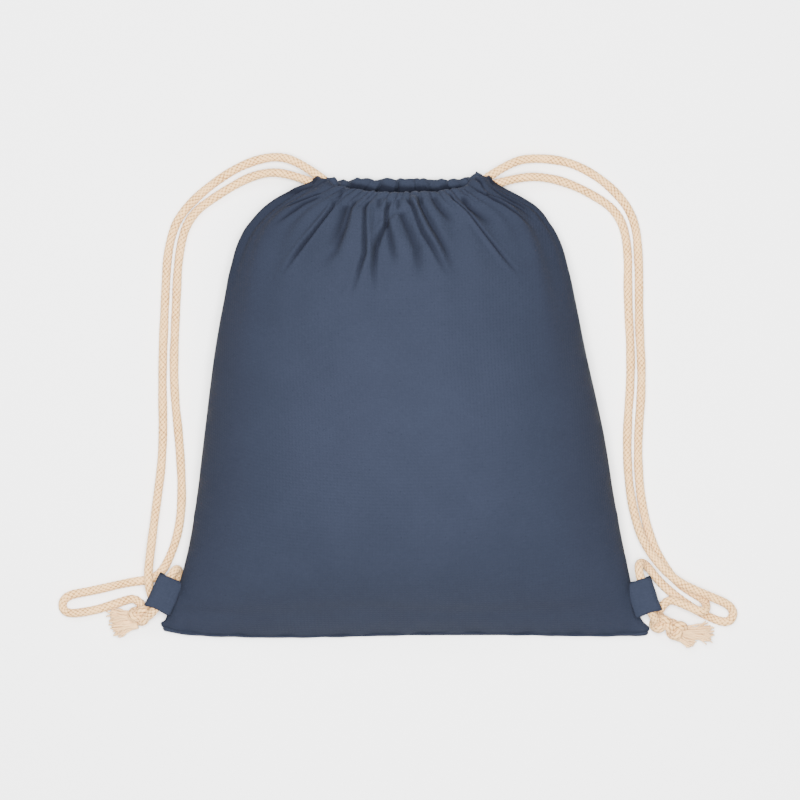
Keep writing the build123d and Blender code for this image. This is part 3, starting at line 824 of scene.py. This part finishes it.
def cotton_material(name, dark, base, light, thread=0.42):
    """Plain-woven cotton: uneven threads, small dark neps, painted shade in folds and a soft sheen."""
    mat = bpy.data.materials.new(name)
    mat.use_nodes = True
    tree = mat.node_tree
    shader = tree.nodes["Principled BSDF"]
    shader.inputs["Sheen Weight"].default_value = 0.008
    shader.inputs["Sheen Roughness"].default_value = 0.5
    shader.inputs["Specular IOR Level"].default_value = 0.05
    uv = node(tree, "ShaderNodeUVMap", (-1500, 0), uv_map="cloth")
    place = node(tree, "ShaderNodeTexCoord", (-1500, -400))
    link = tree.links.new

    # warp and weft as two sets of rounded threads that pass over each other
    waves = []
    for k, direction in enumerate(("X", "Y")):
        wave = node(tree, "ShaderNodeTexWave", (-1250, 300 - 260 * k), {
            "Scale": 0.5 / thread, "Distortion": 0.6, "Detail": 1.0, "Detail Scale": 2.0
        }, bands_direction=direction)
        link(uv.outputs["UV"], wave.inputs["Vector"])
        waves.append(wave)
    weave = node(tree, "ShaderNodeMath", (-1000, 200), operation="MULTIPLY")
    link(waves[0].outputs["Fac"], weave.inputs[0])
    link(waves[1].outputs["Fac"], weave.inputs[1])

    # slubs: threads thicker and thinner along their length, in both directions
    slubs = []
    for k, stretch in enumerate(((2.2, 46.0, 1.0), (46.0, 2.2, 1.0))):
        mapping = node(tree, "ShaderNodeMapping", (-1250, -300 - 300 * k), {"Scale": stretch})
        noise = node(tree, "ShaderNodeTexNoise", (-1050, -300 - 300 * k), {
            "Scale": 1.0, "Detail": 3.0, "Roughness": 0.6
        })
        link(uv.outputs["UV"], mapping.inputs["Vector"])
        link(mapping.outputs["Vector"], noise.inputs["Vector"])
        slubs.append(noise)
    slub = node(tree, "ShaderNodeMath", (-820, -350), operation="ADD")
    link(slubs[0].outputs["Fac"], slub.inputs[0])
    link(slubs[1].outputs["Fac"], slub.inputs[1])

    # slow unevenness of the dye
    cloud = node(tree, "ShaderNodeTexNoise", (-1050, -950), {"Scale": 26.0, "Detail": 5.0, "Roughness": 0.62})
    link(place.outputs["Object"], cloud.inputs["Vector"])
    tone = node(tree, "ShaderNodeMath", (-620, -450), {1: 0.62}, operation="MULTIPLY_ADD")
    cloud_part = node(tree, "ShaderNodeMath", (-820, -700), {1: 0.34}, operation="MULTIPLY")
    link(cloud.outputs["Fac"], cloud_part.inputs[0])
    link(slub.outputs["Value"], tone.inputs[0])
    link(cloud_part.outputs["Value"], tone.inputs[2])
    ramp = node(tree, "ShaderNodeValToRGB", (-420, -300))
    ramp.color_ramp.elements[0].position = 0.58
    ramp.color_ramp.elements[0].color = (*dark, 1.0)
    ramp.color_ramp.elements[1].position = 1.0
    ramp.color_ramp.elements[1].color = (*light, 1.0)
    middle = ramp.color_ramp.elements.new(0.80)
    middle.color = (*base, 1.0)
    link(tone.outputs["Value"], ramp.inputs["Fac"])

    # neps and flecks
    flecks = node(tree, "ShaderNodeTexVoronoi", (-1050, -1250), {
        "Scale": 210.0, "Randomness": 1.0
    }, feature="F1")
    link(place.outputs["Object"], flecks.inputs["Vector"])
    size = node(tree, "ShaderNodeMapRange", (-820, -1250), {
        "From Min": 0.05, "From Max": 0.13, "To Min": 1.0, "To Max": 0.0
    }, clamp=True)
    link(flecks.outputs["Distance"], size.inputs["Value"])
    some = node(tree, "ShaderNodeSeparateColor", (-820, -1450))
    link(flecks.outputs["Color"], some.inputs["Color"])
    pick = node(tree, "ShaderNodeMath", (-620, -1450), {1: 0.62}, operation="GREATER_THAN")
    link(some.outputs["Red"], pick.inputs[0])
    fleck = node(tree, "ShaderNodeMath", (-420, -1250), operation="MULTIPLY")
    link(size.outputs["Result"], fleck.inputs[0])
    link(pick.outputs["Value"], fleck.inputs[1])
    fleck_part = node(tree, "ShaderNodeMath", (-260, -1250), {1: 0.42}, operation="MULTIPLY")
    link(fleck.outputs["Value"], fleck_part.inputs[0])
    with_flecks = node(tree, "ShaderNodeMix", (-120, -300), {
        "B": (dark[0] * 0.35, dark[1] * 0.35, dark[2] * 0.4, 1.0)
    }, data_type="RGBA")
    link(fleck_part.outputs["Value"], with_flecks.inputs["Factor"])
    link(ramp.outputs["Color"], with_flecks.inputs["A"])

    # painted shade: the cloth is mixed towards a dark shade colour where the attribute marks folds, gather
    # valleys, the hem's inside, the tabs' edges and the sides
    painted_shade = node(tree, "ShaderNodeAttribute", (-420, -60), attribute_name="painted_shade")
    painted_shade_share = node(tree, "ShaderNodeMath", (-220, -60), {1: 0.86}, operation="MULTIPLY")
    link(painted_shade.outputs["Fac"], painted_shade_share.inputs[0])
    painted_shade_mix = node(tree, "ShaderNodeMix", (60, -200), {
        "B": (dark[0] * 0.4, dark[1] * 0.38, dark[2] * 0.42, 1.0)
    }, data_type="RGBA")
    link(painted_shade_share.outputs["Value"], painted_shade_mix.inputs["Factor"])
    link(with_flecks.outputs["Result"], painted_shade_mix.inputs["A"])
    link(painted_shade_mix.outputs["Result"], shader.inputs["Base Color"])

    rough = node(tree, "ShaderNodeMapRange", (-420, 250), {"To Min": 0.80, "To Max": 0.96}, clamp=True)
    link(cloud.outputs["Fac"], rough.inputs["Value"])
    link(rough.outputs["Result"], shader.inputs["Roughness"])

    relief = node(tree, "ShaderNodeMath", (-620, 150), {1: 0.55}, operation="MULTIPLY_ADD")
    link(slub.outputs["Value"], relief.inputs[0])
    link(weave.outputs["Value"], relief.inputs[2])
    bump = node(tree, "ShaderNodeBump", (-120, 150), {"Strength": 0.55, "Distance": 0.00035})
    link(relief.outputs["Value"], bump.inputs["Height"])
    link(bump.outputs["Normal"], shader.inputs["Normal"])
    return mat


def cord_material(name, shade, base, light, gap_shade_share=0.90):
    """Unbleached cotton yarn: crowns painted pale and gaps painted in a warm dark shade, with fine fibres
    along the yarns.
    """
    mat = bpy.data.materials.new(name)
    mat.use_nodes = True
    tree = mat.node_tree
    shader = tree.nodes["Principled BSDF"]
    shader.inputs["Sheen Weight"].default_value = 0.10
    shader.inputs["Sheen Roughness"].default_value = 0.5
    shader.inputs["Specular IOR Level"].default_value = 0.2
    shader.inputs["Subsurface Weight"].default_value = 0.06
    shader.inputs["Subsurface Radius"].default_value = (0.004, 0.003, 0.002)
    link = tree.links.new
    uv = node(tree, "ShaderNodeUVMap", (-1300, 0), uv_map="cloth")
    place = node(tree, "ShaderNodeTexCoord", (-1300, -400))
    crown = node(tree, "ShaderNodeAttribute", (-1050, 250), attribute_name="crown")
    fibre_map = node(tree, "ShaderNodeMapping", (-1100, 0), {"Scale": (3.0, 16.0, 1.0)})
    fibre = node(tree, "ShaderNodeTexNoise", (-900, 0), {"Scale": 5.0, "Detail": 4.0, "Roughness": 0.65})
    link(uv.outputs["UV"], fibre_map.inputs["Vector"])
    link(fibre_map.outputs["Vector"], fibre.inputs["Vector"])
    cloud = node(tree, "ShaderNodeTexNoise", (-900, -350), {"Scale": 85.0, "Detail": 5.0, "Roughness": 0.66})
    link(place.outputs["Object"], cloud.inputs["Vector"])
    # painted light and shade: tone follows the yarns' height, darkest in the gaps; fibre noise and slow
    # random variation are mixed in
    blend_a = node(tree, "ShaderNodeMath", (-700, 150), {1: gap_shade_share}, operation="MULTIPLY_ADD")
    link(crown.outputs["Fac"], blend_a.inputs[0])
    part = node(tree, "ShaderNodeMath", (-700, -50), {1: 0.30}, operation="MULTIPLY")
    link(fibre.outputs["Fac"], part.inputs[0])
    link(part.outputs["Value"], blend_a.inputs[2])
    blend_b = node(tree, "ShaderNodeMath", (-500, 100), {1: 0.44}, operation="MULTIPLY_ADD")
    link(cloud.outputs["Fac"], blend_b.inputs[0])
    link(blend_a.outputs["Value"], blend_b.inputs[2])
    ramp = node(tree, "ShaderNodeValToRGB", (-300, 100))
    ramp.color_ramp.elements[0].position = 0.50 if gap_shade_share > 0.5 else 0.22
    ramp.color_ramp.elements[0].color = (*shade, 1.0)
    ramp.color_ramp.elements[1].position = 1.0
    ramp.color_ramp.elements[1].color = (*light, 1.0)
    middle = ramp.color_ramp.elements.new(0.86 if gap_shade_share > 0.5 else 0.52)
    middle.color = (*base, 1.0)
    link(blend_b.outputs["Value"], ramp.inputs["Fac"])
    link(ramp.outputs["Color"], shader.inputs["Base Color"])
    rough = node(tree, "ShaderNodeMapRange", (-300, -150), {"To Min": 0.72, "To Max": 0.94}, clamp=True)
    link(fibre.outputs["Fac"], rough.inputs["Value"])
    link(rough.outputs["Result"], shader.inputs["Roughness"])
    bump = node(tree, "ShaderNodeBump", (-100, -300), {"Strength": 0.6, "Distance": 0.0005})
    link(fibre.outputs["Fac"], bump.inputs["Height"])
    link(bump.outputs["Normal"], shader.inputs["Normal"])
    return mat


navy = cotton_material(
    "navy_cotton_weave", (0.0118, 0.0147, 0.0244), (0.0142, 0.0175, 0.0288), (0.0170, 0.0208, 0.0338)
)
thread = cotton_material(
    "navy_sewing_thread", (0.0105, 0.0135, 0.0235), (0.0136, 0.0174, 0.0295), (0.0185, 0.0230, 0.0385), 0.3
)
cream = cord_material(
    "natural_cotton_braid", (0.12, 0.052, 0.014), (0.47, 0.260, 0.094), (0.73, 0.450, 0.198)
)
fluff = cord_material(
    "natural_cotton_yarn", (0.30, 0.155, 0.055), (0.66, 0.405, 0.185), (0.82, 0.56, 0.29), 0.3
)


def dress(obj, material):
    obj.data.materials.clear()
    obj.data.materials.append(material)


cords = [left_front, left_back, right_front, right_back]
knots = [left_knot, right_knot, right_knot_b]
tails = [left_tail_a, left_tail_b, right_tail_a, right_tail_b]
hem_cords = [front_cord_a, front_cord_b, back_cord_a, back_cord_b]
for piece in cords + knots + hem_cords:
    dress(piece, cream)
for piece in tails:
    dress(piece, fluff)
for piece in (bag_front, bag_back, left_tab_piece, right_tab_piece, bottom_edge):
    dress(piece, navy)
for piece in (front_stitches, back_stitches, left_tab_stitch, right_tab_stitch):
    dress(piece, thread)


# ------------------------------------------------------------------ bodies and CAD nodes
def along(start, towards, distance):
    start = Vector(start) * MM
    line = (Vector(towards) * MM - start).normalized()
    return tuple(start + line * distance * MM)


for piece in (left_front, left_back):
    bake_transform(piece)
for piece in (right_front, right_back):
    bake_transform(piece)
for piece in (bag_front, front_stitches, front_cord_a, front_cord_b):
    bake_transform(piece)
for piece in (
    knots + tails
    + [bag_back, back_cord_a, back_cord_b, back_stitches, left_tab_piece, right_tab_piece,
       left_tab_stitch, right_tab_stitch, bottom_edge]
):
    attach(piece, "bag")

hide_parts("left_front_strand", "left_tab_run")
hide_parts("left_back_strand", "left_floor_loop")
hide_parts("right_front_strand", "right_floor_loop")
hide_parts("right_back_strand", "right_tab_run")
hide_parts("left_knot")
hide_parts("right_knot")
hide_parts("left_tail_1")
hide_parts("left_tail_2")
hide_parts("right_tail_1")
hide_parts("right_tail_2")
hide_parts("front_panel", "front_hem", "front_hem_left_end", "front_hem_right_end")
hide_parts("back_panel", "back_hem", "left_side_seam", "right_side_seam")
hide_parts("bottom_seam")
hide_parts("front_hem_stitching")
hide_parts("back_hem_stitching")
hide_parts("left_tab")
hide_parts("right_tab")
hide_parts("left_tab_stitching")
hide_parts("right_tab_stitching")
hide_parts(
    "left_cord_in_front_hem", "left_cord_in_front_hem_left_end",
    "left_cord_in_front_hem_right_end"
)
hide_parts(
    "right_cord_in_front_hem", "right_cord_in_front_hem_left_end",
    "right_cord_in_front_hem_right_end"
)
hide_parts("left_cord_in_back_hem", "left_cord_turn")
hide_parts("right_cord_in_back_hem", "right_cord_turn")

# ------------------------------------------------------------------ floor and light
floor_mesh = bpy.data.meshes.new("floor")
shape = bmesh.new()
bmesh.ops.create_grid(shape, x_segments=8, y_segments=8, size=3.0)
shape.to_mesh(floor_mesh)
shape.free()
floor = bpy.data.objects.new("floor", floor_mesh)
bpy.context.scene.collection.objects.link(floor)
floor.location = (0, 0, -0.0002)
floor_mat = bpy.data.materials.new("pale_floor")
floor_mat.use_nodes = True
floor_shader = floor_mat.node_tree.nodes["Principled BSDF"]
floor_shader.inputs["Base Color"].default_value = (0.90, 0.90, 0.90, 1.0)
floor_shader.inputs["Roughness"].default_value = 0.9
floor_shader.inputs["Specular IOR Level"].default_value = 0.1
floor.data.materials.append(floor_mat)


def area_light(name, place, aim, size, watts):
    data = bpy.data.lights.new(name, "AREA")
    data.shape = "SQUARE"
    data.size = size
    data.energy = watts
    light = bpy.data.objects.new(name, data)
    light.location = place
    light.rotation_euler = (Vector(aim) - Vector(place)).to_track_quat("-Z", "Y").to_euler()
    bpy.context.scene.collection.objects.link(light)


area_light("light_from_mouth_side", (-0.7, 1.4, 1.9), (0, 0, 0), 1.0, 52.0)
area_light("light_from_bottom_side", (0.6, -1.3, 2.1), (0, 0, 0), 1.6, 40.0)
area_light("light_overhead", (0.0, 0.05, 2.0), (0, 0, 0), 0.9, 170.0)
world = bpy.data.worlds.new("studio")
bpy.context.scene.world = world
world.use_nodes = True
world.node_tree.nodes["Background"].inputs["Color"].default_value = (0.96, 0.97, 1.0, 1.0)
world.node_tree.nodes["Background"].inputs["Strength"].default_value = 0.32

bpy.context.view_layer.update()
